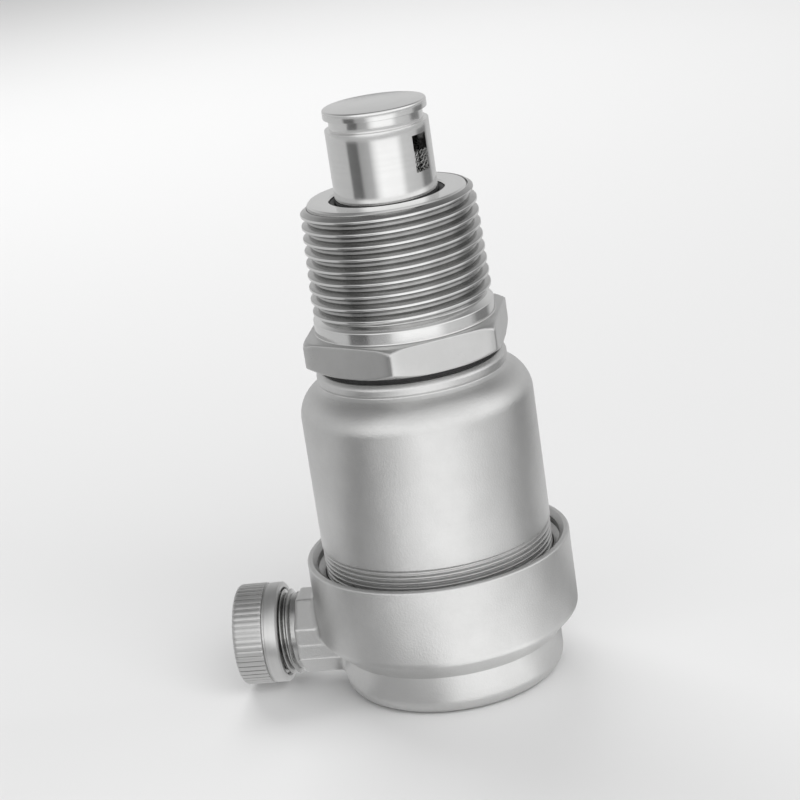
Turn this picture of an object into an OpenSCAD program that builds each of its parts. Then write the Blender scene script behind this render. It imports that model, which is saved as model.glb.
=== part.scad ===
// Float-type automatic air vent with a side outlet and an isolating inlet stop.
// It stands on the flat end of its cover, inlet thread upwards.
// Z runs along the body. Z = 0 is the flat end of the cover. The vent outlet points to -X.

/* [Cover] */
// Diameter of the small step at the closed end
cover_step_d = 42.8; // [42:0.1:44]
// Height where the small step ends and the bevel starts
cover_step_h = 8.2; // [7.5:0.1:8.5]
// Diameter of the big ring that screws over the barrel
ring_d = 50.8; // [50:0.1:54]
// Height of the ring's open rim
ring_top = 27.3; // [26:0.1:28]
// Radius of the soft edge round the closed end
cover_edge_r = 3; // [1:0.1:3.4]
// Thickness of the closed end
cover_floor = 4.5; // [4.2:0.1:4.6]
// Bore of the chamber below the barrel
cover_bore_d = 37; // [36:0.1:37.4]

/* [Barrel] */
// Outer diameter of the barrel
barrel_d = 44.2; // [43.8:0.1:44.4]
// Inner diameter of the float chamber
chamber_d = 38.8; // [38:0.1:39.4]
// Height of the barrel's open end inside the cover
barrel_foot = 17.3; // [17.2:0.1:17.6]
// Height where the barrel's cover thread ends
barrel_thread_top = 30.2; // [30:0.1:31]
// Height where the round shoulder starts
shoulder_z = 55.8; // [55:0.1:56]
// Radius of the round shoulder
shoulder_r = 6.3; // [6:0.1:6.4]
// Height of the barrel's machined top face
barrel_top = 64.8; // [64.6:0.1:65]
// Diameter of the machined collar at the top
collar_d = 36.1; // [35.6:0.1:36.4]

/* [Inlet stop] */
// Hexagon, across the flats
hex_af = 36; // [35.6:0.1:37]
// Height of the hexagon's lower face
hex_z0 = 65.95; // [65.9:0.05:66.2]
// Height of the hexagon's upper face
hex_z1 = 72.1; // [71.5:0.1:73]
// Diameter of the plain neck
neck_d = 34; // [33:0.1:34.6]
// Height where the taper thread starts
thread_z0 = 75.3; // [75:0.1:75.6]
// Height of the inlet end face
inlet_top = 96.5; // [96.4:0.1:96.6]
// Gauge diameter of the R1 taper thread
gauge_d = 33.249; // [33.2:0.001:33.3]
// Gauge length of the R1 taper thread
gauge_l = 10.4; // [10:0.1:10.8]
// Pitch of the R1 taper thread, 11 threads per inch
inlet_pitch = 2.309; // [2.3:0.001:2.32]
// Bore in the inlet end face
mouth_d = 21.3; // [21:0.1:22]

/* [Plunger] */
// Outer diameter of the sliding sleeve
plunger_d = 19.2; // [19.16:0.01:19.24]
// Height of the top of the plunger's head
plunger_top = 113.3; // [113:0.1:114]
// Thickness of the head
head_t = 1.7; // [1.5:0.1:1.9]
// Width of the groove under the head
groove_w = 2.1; // [1.9:0.1:2.2]
// Depth of the groove under the head
groove_depth = 0.9; // [0.6:0.05:1]
// Width of the two side windows
window_w = 3.8; // [3:0.1:4.4]
// Height of the two side windows
window_h = 6.8; // [6:0.1:7]
// Height of the lower edge of the windows
window_z = 100.8; // [100.5:0.1:101]
// Angle of the windows about the plunger
window_turn = -30; // [-180:5:180]
// Top edge of the wire screen
screen_top = 104.2; // [103:0.1:106]

/* [Vent] */
// Height of the vent's axis
vent_z = 10.9; // [10.8:0.1:11]
// Octagonal boss, across the flats
boss_af = 15.4; // [15:0.1:15.6]
// Distance of the boss's outer face from the body's axis
boss_face = 29.3; // [29:0.1:29.6]
// Major diameter of the vent thread, G3/8
vent_thread_d = 16.66; // [16.6:0.01:16.7]
// Distance of the spigot's end from the body's axis
spigot_end = 38.4; // [38.2:0.1:38.4]
// Outer diameter of the knurled cap
cap_d = 19.8; // [19.4:0.1:20.4]
// Distance of the cap's open edge from the body's axis
cap_open = 32.3; // [32:0.1:32.6]
// Distance of the cap's closed end from the body's axis
cap_end = 41.3; // [41.1:0.1:41.6]

/* [Float gear] */
// Diameter of the float
float_d = 34; // [32:0.1:35]
// Height of the float's lower face
float_z0 = 23.4; // [23.3:0.1:23.6]
// Height of the float's upper face
float_z1 = 42; // [40:0.1:43]
// Distance of the lever's pivot from the body's axis
pivot_x = 12; // [11.9:0.05:12.1]
// Height of the lever's pivot
pivot_z = 18.6; // [18.5:0.05:18.7]

/* [Hidden] */
$fn = 96;

step_r = cover_step_d / 2;
ring_r = ring_d / 2;
bevel_top = cover_step_h + ring_r - step_r;
chamber_floor = cover_floor;
gasket_seat = barrel_foot - 1.7;
barrel_r = barrel_d / 2;
collar_r = collar_d / 2;
fine_pitch = 1.5;
cover_pitch = 1;
cover_thread_r = 22;
spigot_r = 14;
spigot_foot = 49.8;
gauge_z = inlet_top - gauge_l;
plunger_r = plunger_d / 2;
spring_seat = 84;
flange_top = 67.6;
vent_pitch = 1.337;
pad_face = 17.3;
seat_x = 14.5;

steel = [0.72, 0.73, 0.74];
bright = [0.82, 0.83, 0.84];
rubber = [0.08, 0.08, 0.08];
brass = [0.78, 0.66, 0.38];
plastic = [0.86, 0.87, 0.84];

// One thread as a row of ridges with flat crests, drawn from low z to high z.
// taper is the loss of radius per millimetre of height, true at height z_true.
function ridges(z0, pitch, count, crest, depth, land, taper = 0, z_true = 0) = [
  for (i = [0 : count - 1])
    let (z = z0 + i * pitch)
    let (flank = (pitch - 1.6 * land) / 2)
    let (r = crest + (z_true - (z + flank + land / 2)) * taper)
    each [
      [r - depth, z],
      [r, z + flank],
      [r, z + flank + land],
      [r - depth, z + 2 * flank + land]
    ]
];

// Points of an arc in the profile plane.
function arc(cx, cy, r, a0, a1, steps) = [
  for (i = [0 : steps])
    let (a = a0 + (a1 - a0) * i / steps)
    [cx + r * cos(a), cy + r * sin(a)]
];

// Turns a profile of [radius, distance] points about the vent's axis, distances towards -X.
module about_vent() {
  translate([0, 0, vent_z]) rotate([0, -90, 0]) rotate_extrude() children();
}

// A cylinder along the vent's axis from distance a to distance b.
module vent_cylinder(r, a, b) {
  translate([-a, 0, vent_z]) rotate([0, -90, 0]) cylinder(r = r, h = b - a);
}

// A cylinder along Y between y0 and y1 through the point x, z.
module cross_cylinder(r, x, z, y0, y1) {
  translate([x, y1, z]) rotate([90, 0, 0]) cylinder(r = r, h = y1 - y0);
}

module ring_solid(r_in, r_out, z0, z1) {
  rotate_extrude() translate([r_in, z0]) square([r_out - r_in, z1 - z0]);
}

// ---- cover and vent ----

module cover_outside() {
  profile = concat(
    [[0, 0], [step_r - cover_edge_r, 0]],
    arc(step_r - cover_edge_r - 0.1, cover_edge_r, cover_edge_r, -75, 0, 5),
    [[step_r, cover_step_h]],
    [[ring_r - 0.5, bevel_top - 0.5], [ring_r - 0.12, bevel_top + 0.05]],
    [[ring_r, bevel_top + 0.6], [ring_r, ring_top - 0.6], [ring_r - 0.6, ring_top]],
    [[0, ring_top]]
  );
  rotate_extrude() polygon(profile);
}

module vent_boss() {
  translate([-18.9, 0, vent_z])
    rotate([0, -90, 0])
      rotate([0, 0, 22.5])
        cylinder(r = boss_af / 2 / cos(22.5), h = boss_face - 18.9, $fn = 8);
}

module vent_spigot() {
  count = 6;
  start = boss_face + 0.7;
  profile = concat(
    [[0, boss_face - 1], [7.45, boss_face - 1], [7.45, start]],
    ridges(start, vent_pitch, count, vent_thread_d / 2, 0.856, 0.25),
    [[7.1, spigot_end], [0, spigot_end]]
  );
  about_vent() polygon(profile);
}

module cover() color(steel) {
  difference() {
    union() {
      cover_outside();
      vent_boss();
      vent_spigot();
    }
    rotate_extrude() polygon([
      [0, chamber_floor], [cover_bore_d / 2, chamber_floor], [cover_bore_d / 2, gasket_seat],
      [cover_thread_r + 0.15, gasket_seat], [cover_thread_r + 0.15, ring_top - 2.6],
      [23.5, ring_top - 2.2], [23.5, ring_top - 0.9], [24.4, ring_top + 0.1], [0, ring_top + 0.1]
    ]);
    vent_cylinder(3.45, 10, 24);
    vent_cylinder(2.5, 23, 45);
    for (x = [-5.5, 0]) translate([x, 0, 1.5]) cylinder(r = 1.25, h = 4);
  }
  difference() {
    vent_cylinder(4.6, pad_face, 18.9);
    vent_cylinder(3.45, 10, 24);
  }
}

module vent_nozzle() color(brass) difference() {
  union() {
    vent_cylinder(3.4, 16, 23.8);
    translate([-15.2, 0, vent_z]) rotate([0, -90, 0]) cylinder(r = 4.05, h = 1.5, $fn = 6);
    about_vent() polygon([[0, 16], [1.9, 16], [1.9, 15.2], [1.3, seat_x], [0, seat_x]]);
  }
  vent_cylinder(0.8, 10, 30);
}

module nozzle_gasket() color(rubber) difference() {
  vent_cylinder(4.4, 16.7, pad_face);
  vent_cylinder(3.45, 10, 24);
}

module lever_bracket() color(steel) difference() {
  union() {
    translate([-14.4, -4.6, chamber_floor]) cube([17, 9.2, 1.2]);
    for (y = [-4.6, 3.4]) {
      translate([-14.4, y, chamber_floor]) cube([4.8, 1.2, pivot_z - chamber_floor]);
      cross_cylinder(2.4, -pivot_x, pivot_z, y, y + 1.2);
    }
  }
  cross_cylinder(1.02, -pivot_x, pivot_z, -8, 8);
  for (x = [-5.5, 0]) translate([x, 0, 3]) cylinder(r = 1.5, h = 5);
}

module bracket_screws() color(bright) for (x = [-5.5, 0]) translate([x, 0, 0]) difference() {
  union() {
    translate([0, 0, 1.7]) cylinder(r = 1.2, h = 4.5);
    rotate_extrude() polygon([[0, 5.7], [2.4, 5.7], [2.4, 6.8], [1.7, 7.3], [0, 7.3]]);
  }
  translate([0, 0, 6.2]) cylinder(r = 1.15, h = 2, $fn = 6);
}

module lever_pin() color(bright) difference() {
  union() {
    cross_cylinder(1, -pivot_x, pivot_z, -5.6, 5.9);
    cross_cylinder(1.8, -pivot_x, pivot_z, -5.6, -4.65);
  }
  difference() {
    cross_cylinder(2, -pivot_x, pivot_z, 4.75, 5.25);
    cross_cylinder(0.7, -pivot_x, pivot_z, 4, 6);
  }
}

module lever_pin_clip() color(bright) difference() {
  cross_cylinder(2.1, -pivot_x, pivot_z, 4.8, 5.2);
  cross_cylinder(0.74, -pivot_x, pivot_z, 4, 6);
  translate([-pivot_x - 0.6, 4, pivot_z]) cube([1.2, 2, 4]);
}

module lever() color(bright) difference() {
  union() {
    cross_cylinder(2.4, -pivot_x, pivot_z, -2.8, 2.8);
    translate([-pivot_x - 1.2, -1.5, vent_z - 1]) cube([2.4, 3, pivot_z - vent_z + 1]);
    vent_cylinder(2.9, 11.6, 13.4);
    translate([-pivot_x, -1.5, pivot_z - 1.3]) cube([pivot_x + 2.6, 3, 2.6]);
  }
  cross_cylinder(1.06, -pivot_x, pivot_z, -8, 8);
  vent_cylinder(2.3, 12.5, 15);
  for (x = [-0.25, 0.75]) cross_cylinder(1, x, pivot_z, -4, 4);
  translate([-0.25, -4, pivot_z - 1]) cube([1, 8, 2]);
}

module valve_pad() color(rubber) vent_cylinder(2.25, 12.5, seat_x - 0.05);

// ---- float ----

module float_shell() color(plastic) {
  r = float_d / 2;
  wall = 1;
  seam = float_z1 - 1.2;
  profile = concat(
    [[1.55, float_z0], [r - 2.5, float_z0]],
    arc(r - 2.5, float_z0 + 2.5, 2.5, -75, 0, 5),
    [[r, seam], [r - wall, seam], [r - wall, float_z0 + 2.6]],
    [[r - 2.6, float_z0 + wall], [3.4, float_z0 + wall], [3.4, 31.4], [0, 31.4]],
    [[0, 30.3], [1.55, 30.3]]
  );
  rotate_extrude() polygon(profile);
}

module float_lid() color(plastic) {
  r = float_d / 2;
  seam = float_z1 - 1.2;
  rotate_extrude() polygon([
    [0, seam], [r, seam], [r, float_z1 - 0.5], [r - 0.7, float_z1], [0, float_z1]
  ]);
}

module float_stem() color(bright) difference() {
  union() {
    translate([0, 0, 21.6]) cylinder(r = 3.6, h = 1.75);
    translate([0, 0, 22]) cylinder(r = 1.5, h = 8.2);
    for (y = [-3.2, 2]) {
      translate([-2, y, pivot_z]) cube([4, 1.2, 3.2]);
      cross_cylinder(2, 0, pivot_z, y, y + 1.2);
    }
  }
  cross_cylinder(0.92, 0, pivot_z, -8, 8);
}

module float_link_pin() color(bright) cross_cylinder(0.9, 0, pivot_z, -3.5, 3.5);

// ---- vent cap ----

module cap_washer() color(rubber) difference() {
  vent_cylinder(8.2, spigot_end, cap_end - 1.6);
  vent_cylinder(2.6, 30, 50);
}

module vent_cap() color(bright) {
  r = cap_d / 2;
  about_vent() polygon([
    [9, cap_open], [r - 0.45, cap_open], [r - 0.1, cap_open + 0.35], [r - 0.1, cap_open + 2.6],
    [r - 0.6, cap_open + 2.7], [r - 0.6, cap_open + 3.1], [r, cap_open + 3.2],
    [r, cap_end - 0.9], [r - 0.9, cap_end], [0, cap_end], [0, cap_end - 1.6],
    [8.45, cap_end - 1.6], [8.45, cap_open + 0.6]
  ]);
}

// ---- barrel ----

module cover_gasket() color(rubber) ring_solid(18.7, 21.6, gasket_seat, barrel_foot);

module barrel() color(steel) {
  r_in = chamber_d / 2;
  count = 12;
  start = barrel_foot + 0.5;
  outside = concat(
    [[0, barrel_foot], [20.9, barrel_foot], [20.9, start]],
    ridges(start, cover_pitch, count, cover_thread_r, 0.6, 0.15),
    [[barrel_r, barrel_thread_top]],
    arc(barrel_r - shoulder_r, shoulder_z, shoulder_r, 0, 63, 9),
    [[collar_r + 0.1, shoulder_z + 6.1], [collar_r - 0.35, shoulder_z + 6.7]],
    [[collar_r, shoulder_z + 7.1], [collar_r, barrel_top - 0.7]],
    [[collar_r - 0.65, barrel_top], [0, barrel_top]]
  );
  difference() {
    rotate_extrude() polygon(outside);
    rotate_extrude() polygon([
      [0, 10], [r_in, 10], [r_in, 54.5], [18.4, 57.6], [17.2, 59.2], [16.1, 59.2],
      [16.1, 50.5], [spigot_r + 0.15, 50.5], [spigot_r + 0.15, barrel_top + 1],
      [0, barrel_top + 1]
    ]);
  }
  ring_solid(6.6, 9, 46.4, 65.8);
  for (a = [90, 210, 330]) rotate([0, 0, a]) translate([8, -1.5, 46.4]) cube([r_in - 7.9, 3, 3]);
}

module body_gasket() color(rubber) ring_solid(spigot_r + 0.25, 16.4, barrel_top, hex_z0);

// ---- inlet stop ----

module hexagon() {
  intersection() {
    translate([0, 0, hex_z0])
      rotate([0, 0, 30])
        cylinder(r = hex_af / 2 / cos(30), h = hex_z1 - hex_z0, $fn = 6);
    rotate_extrude() polygon([
      [0, hex_z0], [hex_af / 2 + 0.2, hex_z0], [hex_af / 2 + 2.6, hex_z0 + 1.35],
      [hex_af / 2 + 2.6, hex_z1 - 0.6], [hex_af / 2 + 1.6, hex_z1], [0, hex_z1]
    ]);
  }
}

module inlet_stop_body() color(steel) difference() {
  union() {
    rotate_extrude() polygon(concat(
      [[0, spigot_foot], [13, spigot_foot]],
      ridges(spigot_foot + 0.4, fine_pitch, 9, spigot_r, 0.92, 0.2),
      [[13.6, hex_z0 - 2.2], [13.6, hex_z0 + 1], [0, hex_z0 + 1]]
    ));
    hexagon();
    rotate_extrude() polygon(concat(
      [[0, hex_z0 + 1], [neck_d / 2, hex_z0 + 1], [neck_d / 2, thread_z0 - 0.5]],
      [[15.5, thread_z0]],
      ridges(thread_z0 + 0.15, inlet_pitch, 9, gauge_d / 2, 1.2, 0.4, 1 / 32, gauge_z),
      [[14.9, inlet_top], [0, inlet_top]]
    ));
  }
  rotate_extrude() polygon([
    [0, 40], [11.8, 40], [11.8, 50.6], [12.5, 50.6], [12.5, 51.7], [11.8, 51.7],
    [11.8, spring_seat], [plunger_r + 0.1, spring_seat], [plunger_r + 0.1, inlet_top - 1.9],
    [11.15, inlet_top - 1.9], [11.15, inlet_top - 0.4], [mouth_d / 2, inlet_top - 0.4],
    [mouth_d / 2, inlet_top + 1], [0, inlet_top + 1]
  ]);
}

module bore_seal_ring() color(rubber)
  rotate_extrude() translate([10.4, inlet_top - 1.15]) circle(r = 0.74, $fn = 48);

module spring_retaining_ring() color(bright) difference() {
  ring_solid(10.3, 12.4, 50.8, 51.5);
  translate([-2, 8, 50]) cube([4, 6, 3]);
}

module stop_plunger() color(bright) {
  difference() {
    rotate_extrude() polygon([
      [8.7, 66], [11.3, 66], [11.6, 66.3], [11.6, flange_top], [plunger_r, flange_top],
      [plunger_r, plunger_top - head_t - groove_w - 0.2],
      [plunger_r - 0.2, plunger_top - head_t - groove_w],
      [plunger_r - groove_depth, plunger_top - head_t - groove_w],
      [plunger_r - groove_depth, plunger_top - head_t], [plunger_r - 0.1, plunger_top - head_t],
      [plunger_r, plunger_top - head_t + 0.2], [plunger_r, plunger_top - 0.35],
      [plunger_r - 0.35, plunger_top], [0, plunger_top], [0, 108.4], [7.7, 108.4],
      [7.7, 67.4], [8.7, 67.4]
    ]);
    rotate([0, 0, window_turn])
      translate([-15, -window_w / 2, window_z])
        cube([30, window_w, window_h]);
  }
}

module plunger_screen() color(steel) {
  ring_solid(7.2, 7.6, 67, screen_top);
  ring_solid(7.2, 8.6, 66.1, 67.3);
}

// A round wire wound into a helix, as one closed tube with flat caps.
module coil(mean_r, wire_r, z0, z1, turns, sides = 8, per_turn = 20) {
  steps = turns * per_turn;
  points = [
    for (i = [0 : steps])
      let (a = 360 * i / per_turn)
      let (z = z0 + (z1 - z0) * i / steps)
      for (j = [0 : sides - 1])
        let (b = 360 * j / sides)
        let (r = mean_r + wire_r * cos(b))
        [r * cos(a), r * sin(a), z + wire_r * sin(b)]
  ];
  walls = [
    for (i = [0 : steps - 1])
      for (j = [0 : sides - 1])
        let (k = (j + 1) % sides)
        [i * sides + j, (i + 1) * sides + j, (i + 1) * sides + k, i * sides + k]
  ];
  first = [[for (j = [0 : sides - 1]) j]];
  last = [[for (j = [sides - 1 : -1 : 0]) steps * sides + j]];
  polyhedron(points, concat(walls, first, last), convexity = 10);
}

module stop_spring() color(bright)
  coil(10.7, 0.6, flange_top + 0.65, spring_seat - 0.65, 7);

cover();
vent_nozzle();
nozzle_gasket();
lever_bracket();
bracket_screws();
lever_pin();
lever_pin_clip();
lever();
valve_pad();
float_shell();
float_lid();
float_stem();
float_link_pin();
cap_washer();
vent_cap();
cover_gasket();
barrel();
body_gasket();
inlet_stop_body();
bore_seal_ring();
spring_retaining_ring();
stop_plunger();
plunger_screen();
stop_spring();
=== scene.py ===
# %% [markdown]
# An automatic air vent, standing on its cover with the inlet thread up. The packed
# model gives every solid its place. This script makes the finished surfaces that are
# seen, one piece at a time, and each piece is a plain mesh in metres.

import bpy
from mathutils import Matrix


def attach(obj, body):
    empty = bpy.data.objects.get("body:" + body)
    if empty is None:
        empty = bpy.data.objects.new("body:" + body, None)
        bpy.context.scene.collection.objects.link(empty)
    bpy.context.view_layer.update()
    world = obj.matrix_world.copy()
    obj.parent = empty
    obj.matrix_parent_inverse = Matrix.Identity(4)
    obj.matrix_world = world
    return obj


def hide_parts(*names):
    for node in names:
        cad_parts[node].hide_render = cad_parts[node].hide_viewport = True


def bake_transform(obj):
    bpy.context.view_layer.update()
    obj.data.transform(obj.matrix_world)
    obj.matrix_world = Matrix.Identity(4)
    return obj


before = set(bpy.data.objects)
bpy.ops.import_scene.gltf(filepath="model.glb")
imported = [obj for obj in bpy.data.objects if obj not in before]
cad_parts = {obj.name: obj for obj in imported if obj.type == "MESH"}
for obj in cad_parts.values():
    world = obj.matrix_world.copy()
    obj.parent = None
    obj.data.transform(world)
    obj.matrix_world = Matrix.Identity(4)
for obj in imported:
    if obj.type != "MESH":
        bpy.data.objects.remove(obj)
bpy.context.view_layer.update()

# %% Modules and the one unit
import math

import bmesh
import bpy
from mathutils import Matrix, Vector

MM = 0.001
print("sizes are written in millimetres, and one of them is", MM, "m")

# %% [markdown]
# ## Small tools
# Nearly every part of this fitting was turned in a lathe, so one tool does most of the
# work: it takes a half section drawn in millimetres and spins it. Real turned parts
# have no perfect corners, so the section is drawn with a radius at each corner.

# %% Half section with rounded corners
def rounded(points, steps=4):
    """Turns (radius, height, corner radius) rows, in millimetres, into a smooth closed line."""
    line, n = [], len(points)
    for i, (r, z, fillet) in enumerate(points):
        here = Vector((r, z))
        back = Vector(points[i - 1][:2]) - here
        ahead = Vector(points[(i + 1) % n][:2]) - here
        corner = back.angle(ahead, math.pi)
        if fillet <= 0 or corner > math.radians(177):
            line.append(here)
            continue
        reach = min(fillet / math.tan(corner / 2), 0.49 * back.length, 0.49 * ahead.length)
        radius = reach * math.tan(corner / 2)
        middle = (back.normalized() + ahead.normalized()).normalized()
        centre = here + middle * (radius / math.sin(corner / 2))
        first = here + back.normalized() * reach - centre
        last = here + ahead.normalized() * reach - centre
        sweep = first.angle_signed(last)
        for k in range(steps + 1):
            turned = first.copy()
            turned.rotate(Matrix.Rotation(-sweep * k / steps, 2))
            line.append(centre + turned)
    return [(max(p.x, 0.0), p.y) for p in line]


print("a rounded square has", len(rounded([(0, 0, 0), (2, 0, .5), (2, 2, .5), (0, 2, 0)])), "points")

# %% Rings of vertices and the skin between them
ON_AXIS = 1e-6


def ring_at(bm, radius, z, angles):
    """A round ring of vertices, or a single vertex on the axis. Sizes are in millimetres."""
    if radius < ON_AXIS:
        return [bm.verts.new((0, 0, z * MM))]
    reach = radius * MM
    return [bm.verts.new((reach * math.cos(a), reach * math.sin(a), z * MM)) for a in angles]


def skin(bm, rings, closed=True):
    """Joins rings of equal count, or single points, into one shell."""
    faces, total = [], len(rings)
    for i in range(total if closed else total - 1):
        low, high = rings[i], rings[(i + 1) % total]
        count = max(len(low), len(high))
        if count == 1:
            continue
        for k in range(count):
            j = (k + 1) % count
            corners = [low[k % len(low)], low[j % len(low)], high[j % len(high)], high[k % len(high)]]
            corners = [v for n, v in enumerate(corners) if v not in corners[:n]]
            if len(corners) > 2:
                faces.append(bm.faces.new(corners))
    bmesh.ops.recalc_face_normals(bm, faces=faces)


print("rings closer to the axis than", ON_AXIS, "mm become one vertex")

# %% Spin a half section
def spin(bm, line, segments=180, place=None):
    """Adds the closed solid made by spinning a half section about Z."""
    turns = [2 * math.pi * k / segments for k in range(segments)]
    rings = [ring_at(bm, r, z, turns) for r, z in line]
    skin(bm, rings)
    if place is not None:
        bmesh.ops.transform(bm, matrix=place, verts=[v for ring in rings for v in ring])


VENT_HEIGHT = 10.9
VENT = Matrix(((0, 0, -1, 0), (0, 1, 0, 0), (1, 0, 0, VENT_HEIGHT * MM), (0, 0, 0, 1)))
print("the vent's own Z points to world", tuple(VENT.to_3x3() @ Vector((0, 0, 1))))

# %% Turn a finished shape into a piece on its body
def show(name, data):
    """Makes an object and puts it in the scene."""
    made = bpy.data.objects.new(name, data)
    bpy.context.scene.collection.objects.link(made)
    return made


def finish_piece(name, bm, body, materials, stands_for=(), sharp=32):
    """Makes a piece that rides on a body, smooth except at true corners. Without a body,
    it's left unattached."""
    mesh = bpy.data.meshes.new(name)
    bm.to_mesh(mesh)
    bm.free()
    mesh.polygons.foreach_set("use_smooth", [True] * len(mesh.polygons))
    mesh.set_sharp_from_angle(angle=math.radians(sharp))
    for material in materials:
        mesh.materials.append(material)
    piece = show(name, mesh)
    if body:
        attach(piece, body)
    if stands_for:
        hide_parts(*stands_for)
    print(name, "rides on", body or "two bodies", "with", len(mesh.polygons), "faces")
    return piece


# %% [markdown]
# ## Geometry Nodes that wind, repeat and weave
# A thread, a spring, a knurl and a wire screen all repeat one small shape by a rule.
# Each rule is a node tree with named inputs, so the same tree cuts a coarse pipe thread
# and a fine one. A short helper keeps the wiring readable.

# %% Helpers for node trees
class Wiring:
    """Adds nodes to a tree and joins them, one call for each node."""

    def __init__(self, name, inputs):
        self.tree = bpy.data.node_groups.new(name, "GeometryNodeTree")
        for label, kind, value in inputs:
            socket = self.tree.interface.new_socket(label, in_out="INPUT", socket_type=kind)
            if value is not None:
                socket.default_value = value
        self.tree.interface.new_socket("Geometry", in_out="OUTPUT", socket_type="NodeSocketGeometry")
        self.given = self.tree.nodes.new("NodeGroupInput").outputs

    def node(self, kind, links=(), **settings):
        made = self.tree.nodes.new(kind)
        for key, value in settings.items():
            setattr(made, key, value)
        for socket, source in dict(links).items():
            target = made.inputs[socket]
            if isinstance(source, bpy.types.NodeSocket):
                self.tree.links.new(source, target)
            else:
                target.default_value = source
        return made.outputs

    def sum(self, operation, a, b=0.0):
        return self.node("ShaderNodeMath", {0: a, 1: b}, operation=operation)[0]

    def close(self, geometry, material):
        real = self.node("GeometryNodeRealizeInstances", {0: geometry})[0]
        done = self.node("GeometryNodeSetMaterial", {"Geometry": real, "Material": material})[0]
        out = self.tree.nodes.new("NodeGroupOutput")
        self.tree.links.new(done, out.inputs[0])
        return self.tree


FLOAT, INT, MATERIAL = "NodeSocketFloat", "NodeSocketInt", "NodeSocketMaterial"
print("kinds of input:", FLOAT, INT, MATERIAL)

# %% [markdown]
# A tree runs on an empty holder. What it makes is copied out as a plain mesh, and the
# holder is taken away again, so no modifier is left in the scene.

# %% Run a tree and keep its mesh
def grow(tree, **values):
    """Runs a tree once and returns the plain mesh that it makes."""
    holder = show("holder", bpy.data.meshes.new("holder"))
    modifier = holder.modifiers.new("grow", "NODES")
    modifier.node_group = tree
    sockets = {s.name: s.identifier for s in tree.interface.items_tree if s.in_out == "INPUT"}
    for label, value in values.items():
        modifier[sockets[label.replace("_", " ")]] = value
    bpy.context.view_layer.update()
    graph = bpy.context.evaluated_depsgraph_get()
    mesh = bpy.data.meshes.new_from_object(holder.evaluated_get(graph), depsgraph=graph)
    holder.modifiers.remove(modifier)
    bpy.data.objects.remove(holder)
    return mesh


def lifted(z):
    """The move along Z by so many millimetres."""
    return Matrix.Translation((0, 0, z * MM))


def add_grown(bm, place, tree, **values):
    """Runs a tree and adds what it makes, moved to its place, to a shape."""
    mesh = grow(tree, **values)
    mesh.transform(place)
    start = len(bm.faces)
    bm.from_mesh(mesh)
    bm.faces.ensure_lookup_table()
    bmesh.ops.recalc_face_normals(bm, faces=bm.faces[start:])
    bpy.data.meshes.remove(mesh)


print("a thread that starts at 17.9 mm is lifted by", round(lifted(17.9).translation.z, 4), "m")

# %% [markdown]
# ### The thread ridge
# A male thread is a core with a ridge wound round it. The tree lays points along a
# helix, joins them into a curve and sweeps a rounded trapezoid along it. The ridge
# fades out at both ends as the real cutter runs out, and it can follow a taper.

# %% Points along a helix
def helix_points(w, turns, pitch, radius, taper, per_turn):
    """A curve that climbs Z as a helix, and how many turns up each of its points is."""
    steps = w.sum("MULTIPLY", turns, per_turn)
    count = w.sum("ADD", steps, 1.0)
    line = w.node("GeometryNodeMeshLine", {"Count": count, "Offset": (0.0, 0.0, 0.0)})[0]
    index = w.node("GeometryNodeInputIndex")[0]
    turn = w.sum("DIVIDE", index, per_turn)
    angle = w.sum("MULTIPLY", turn, 2 * math.pi)
    height = w.sum("MULTIPLY", turn, pitch)
    reach = w.sum("SUBTRACT", radius, w.sum("MULTIPLY", height, taper))
    x = w.sum("MULTIPLY", reach, w.sum("COSINE", angle))
    y = w.sum("MULTIPLY", reach, w.sum("SINE", angle))
    place = w.node("ShaderNodeCombineXYZ", {0: x, 1: y, 2: height})[0]
    moved = w.node("GeometryNodeSetPosition", {"Geometry": line, "Position": place})[0]
    curve = w.node("GeometryNodeMeshToCurve", {"Mesh": moved})[0]
    return curve, turn


print("the thread and the spring share", helix_points.__name__)

# %% Build the thread tree
w = Wiring("thread ridge", [
    ("Turns", FLOAT, 8.0), ("Pitch", FLOAT, 2 * MM), ("Core radius", FLOAT, 10 * MM),
    ("Taper", FLOAT, 0.0), ("Ridge height", FLOAT, 1 * MM), ("Root width", FLOAT, 1.5 * MM),
    ("Crest width", FLOAT, 0.4 * MM), ("Rounding", FLOAT, 0.1 * MM), ("Run out", FLOAT, 0.5),
    ("Sink", FLOAT, 0.1 * MM), ("Steps per turn", FLOAT, 96.0), ("Material", MATERIAL, None),
])
g = w.given
curve, turn = helix_points(w, g["Turns"], g["Pitch"], g["Core radius"], g["Taper"], g["Steps per turn"])
to_end = w.sum("MINIMUM", turn, w.sum("SUBTRACT", g["Turns"], turn))
fade = w.sum("MINIMUM", w.sum("MAXIMUM", w.sum("DIVIDE", to_end, g["Run out"]), 0.03), 1.0)
curve = w.node("GeometryNodeSetCurveNormal", {"Curve": curve}, mode="Z_UP")[0]
tall = w.sum("ADD", g["Ridge height"], g["Sink"])
section = w.node("GeometryNodeCurvePrimitiveQuadrilateral", {
    "Height": tall, "Bottom Width": g["Root width"], "Top Width": g["Crest width"], "Offset": 0.0,
}, mode="TRAPEZOID")[0]
section = w.node("GeometryNodeFilletCurve", {
    "Curve": section, "Radius": g["Rounding"], "Count": 2,
}, mode="POLY")[0]
lift = w.sum("SUBTRACT", w.sum("MULTIPLY", tall, 0.5), g["Sink"])
section = w.node("GeometryNodeTransform", {
    "Geometry": section, "Rotation": (0.0, 0.0, -math.pi / 2),
    "Translation": w.node("ShaderNodeCombineXYZ", {0: lift})[0],
})[0]
swept = w.node("GeometryNodeCurveToMesh", {
    "Curve": curve, "Profile Curve": section, "Fill Caps": True, "Scale": w.sum("POWER", fade, 0.6),
})[0]
THREAD = w.close(swept, g["Material"])
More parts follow.
